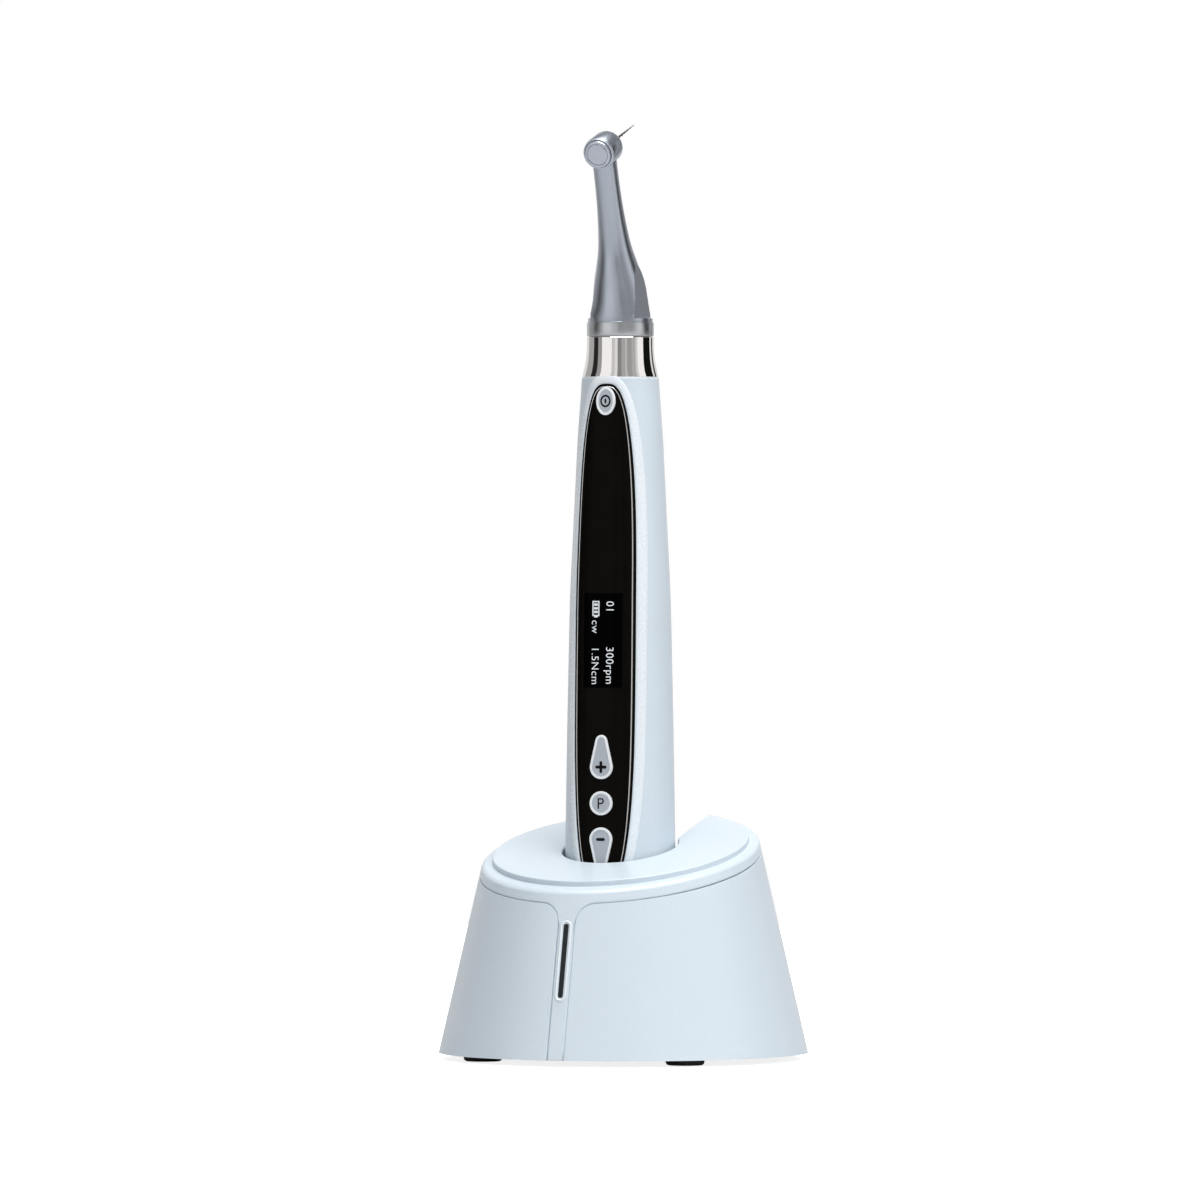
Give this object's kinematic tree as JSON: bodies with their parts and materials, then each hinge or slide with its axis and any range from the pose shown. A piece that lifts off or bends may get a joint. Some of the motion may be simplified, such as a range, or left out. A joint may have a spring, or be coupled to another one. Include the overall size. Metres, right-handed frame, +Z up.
{
  "type": "endodontic motor",
  "caption": "Cordless dental endodontic motor: slim handpiece with glossy control panel, bent contra-angle and file, standing in a weighted conical charging stand.",
  "frame": {"origin": "bottom centre of the stand, on the table", "axes": "+Z up along the handpiece, -Y towards the control panel, +X to the right when facing the panel"},
  "size_m": [0.096, 0.096, 0.2427],
  "materials": {
    "pearl_cover": "satin pearl white with a blue tint",
    "pearl_wrap": "satin pearl white with a blue tint",
    "pearl_base": "satin",
    "pearl_grip": "satin pearl white with a blue tint",
    "liner_rubber": "matt black",
    "smoked_lens": "smoked, glossy",
    "clear_guide": "clear",
    "green_board": "solder mask",
    "ballast_steel": "raw",
    "foot_rubber": "matt",
    "screw_steel": "plain",
    "inlet_steel": "plain",
    "black_nylon": "matt",
    "gold_contact": "gold plated",
    "trim_chrome": "polished",
    "panel_black": "high gloss",
    "display_black": "gloss",
    "switch_steel": "plain",
    "button_grey": "semi-gloss with a pale rim",
    "cell_wrap": "shrink wrap",
    "clip_brass": "nickel plated",
    "motor_steel": "plain",
    "mount_rubber": "matt",
    "rotor_steel": "ground",
    "mirror_chrome": "mirror",
    "bronze": "machined bronze",
    "sleeve_steel": "ground",
    "oring_rubber": "matt",
    "satin_metal": "satin blue-grey metal",
    "cap_metal": "satin",
    "gear_steel": "cut",
    "bearing_steel": "ground",
    "gear_brass": "cut",
    "file_metal": "gold coated shank, grey flutes"
  },
  "bodies": {
    "base": {"deck_cover": "pearl_cover", "skirt_panel": "pearl_wrap", "socket_liner": "liner_rubber", "light_lens": "smoked_lens", "light_guide": "clear_guide", "led_board": "green_board", "base_plate": "pearl_base", "ballast": "ballast_steel", "base_feet": "foot_rubber", "base_screws": "screw_steel", "charge_board": "green_board", "power_inlet": "inlet_steel", "pin_block": "black_nylon", "charge_pins": "gold_contact"},
    "handpiece": {"grip_shell": "pearl_grip", "panel_trim": "trim_chrome", "display_panel": "panel_black", "display_module": "display_black", "main_board": "green_board", "switch_board": "green_board", "tact_switches": "switch_steel", "battery_cell": "cell_wrap", "battery_clips": "clip_brass", "end_cap": "pearl_grip", "contact_pads": "gold_contact", "motor_can": "motor_steel", "motor_mount": "mount_rubber", "nose_collar": "mirror_chrome"},
    "power_key": {"power_button": "button_grey"},
    "plus_key": {"plus_button": "button_grey"},
    "program_key": {"program_button": "button_grey"},
    "minus_key": {"minus_button": "button_grey"},
    "swivel": {"swivel_ring": "bronze"},
    "rotor": {"motor_rotor": "rotor_steel"},
    "contra_angle": {"tail_sleeve": "sleeve_steel", "o_rings": "oring_rubber", "coupling_ring": "satin_metal", "neck_housing": "satin_metal", "head_housing": "satin_metal", "cap_ring": "satin_metal", "cap_spring": "gear_steel", "input_bearings": "bearing_steel", "ring_gear": "gear_steel", "carrier_bearing": "bearing_steel", "neck_bearings": "bearing_steel", "head_bearings": "bearing_steel"},
    "head_button": {"push_cap": "cap_metal"},
    "sun_shaft": {"input_shaft": "gear_steel"},
    "planet_carrier": {"carrier": "gear_steel"},
    "planet_a": {"planet_1": "gear_brass"},
    "planet_b": {"planet_2": "gear_brass"},
    "planet_c": {"planet_3": "gear_brass"},
    "bent_shaft": {"neck_shaft": "gear_steel"},
    "chuck_file": {"chuck": "gear_steel", "chuck_latch": "bronze", "file": "file_metal"}
  },
  "joints": [
    {"name": "handpiece_lift", "type": "slide", "parent": "base", "child": "handpiece", "axis": [0, 0, 1], "range_m": [0, 0.055]},
    {"name": "power_press", "type": "slide", "parent": "handpiece", "child": "power_key", "axis": [0, 1, 0], "range_m": [0, 0.00035], "stiffness_N_per_m": 2000, "springref_m": -0.0003},
    {"name": "plus_press", "type": "slide", "parent": "handpiece", "child": "plus_key", "axis": [0, 1, 0], "range_m": [0, 0.00035], "stiffness_N_per_m": 2000, "springref_m": -0.0003},
    {"name": "program_press", "type": "slide", "parent": "handpiece", "child": "program_key", "axis": [0, 1, 0], "range_m": [0, 0.00035], "stiffness_N_per_m": 2000, "springref_m": -0.0003},
    {"name": "minus_press", "type": "slide", "parent": "handpiece", "child": "minus_key", "axis": [0, 1, 0], "range_m": [0, 0.00035], "stiffness_N_per_m": 2000, "springref_m": -0.0003},
    {"name": "head_swivel", "type": "hinge", "parent": "handpiece", "child": "swivel", "pos_m": [0, -0.0022, 0.1874], "axis": [0, 0, 1], "continuous": true},
    {"name": "motor_spin", "type": "hinge", "parent": "swivel", "child": "rotor", "pos_m": [0, -0.0022, 0.1574], "axis": [0, 0, 1], "continuous": true},
    {"name": "contra_angle_release", "type": "slide", "parent": "swivel", "child": "contra_angle", "axis": [0, 0, 1], "range_m": [0, 0.022]},
    {"name": "head_press", "type": "slide", "parent": "contra_angle", "child": "head_button", "axis": [0, 0.9511, 0.309], "range_m": [0, 0.0006], "stiffness_N_per_m": 3000, "springref_m": -0.0004},
    {"name": "input_spin", "type": "hinge", "parent": "contra_angle", "child": "sun_shaft", "pos_m": [0, -0.0022, 0.1874], "axis": [0, 0, 1], "continuous": true},
    {"name": "carrier_spin", "type": "hinge", "parent": "contra_angle", "child": "planet_carrier", "pos_m": [0, -0.0022, 0.1914], "axis": [0, 0, 1], "continuous": true},
    {"name": "planet_a_spin", "type": "hinge", "parent": "planet_carrier", "child": "planet_a", "pos_m": [0.00336, -0.0022, 0.1894], "axis": [0, 0, 1], "continuous": true},
    {"name": "planet_b_spin", "type": "hinge", "parent": "planet_carrier", "child": "planet_b", "pos_m": [-0.00168, 0.00071, 0.1894], "axis": [0, 0, 1], "continuous": true},
    {"name": "planet_c_spin", "type": "hinge", "parent": "planet_carrier", "child": "planet_c", "pos_m": [-0.00168, -0.00511, 0.1894], "axis": [0, 0, 1], "continuous": true},
    {"name": "neck_spin", "type": "hinge", "parent": "contra_angle", "child": "bent_shaft", "pos_m": [0, -0.0022, 0.1982], "axis": [0, -0.309, 0.9511], "continuous": true},
    {"name": "chuck_spin", "type": "hinge", "parent": "contra_angle", "child": "chuck_file", "pos_m": [0, -0.01431, 0.23548], "axis": [0, 0.9511, 0.309], "continuous": true}
  ],
  "couplings": [
    {"joint": "input_spin", "follows": "motor_spin", "ratio": 1},
    {"joint": "carrier_spin", "follows": "motor_spin", "ratio": 0.25},
    {"joint": "planet_a_spin", "follows": "motor_spin", "ratio": -0.75},
    {"joint": "planet_b_spin", "follows": "motor_spin", "ratio": -0.75},
    {"joint": "planet_c_spin", "follows": "motor_spin", "ratio": -0.75},
    {"joint": "neck_spin", "follows": "motor_spin", "ratio": 0.25},
    {"joint": "chuck_spin", "follows": "motor_spin", "ratio": 0.16667}
  ]
}
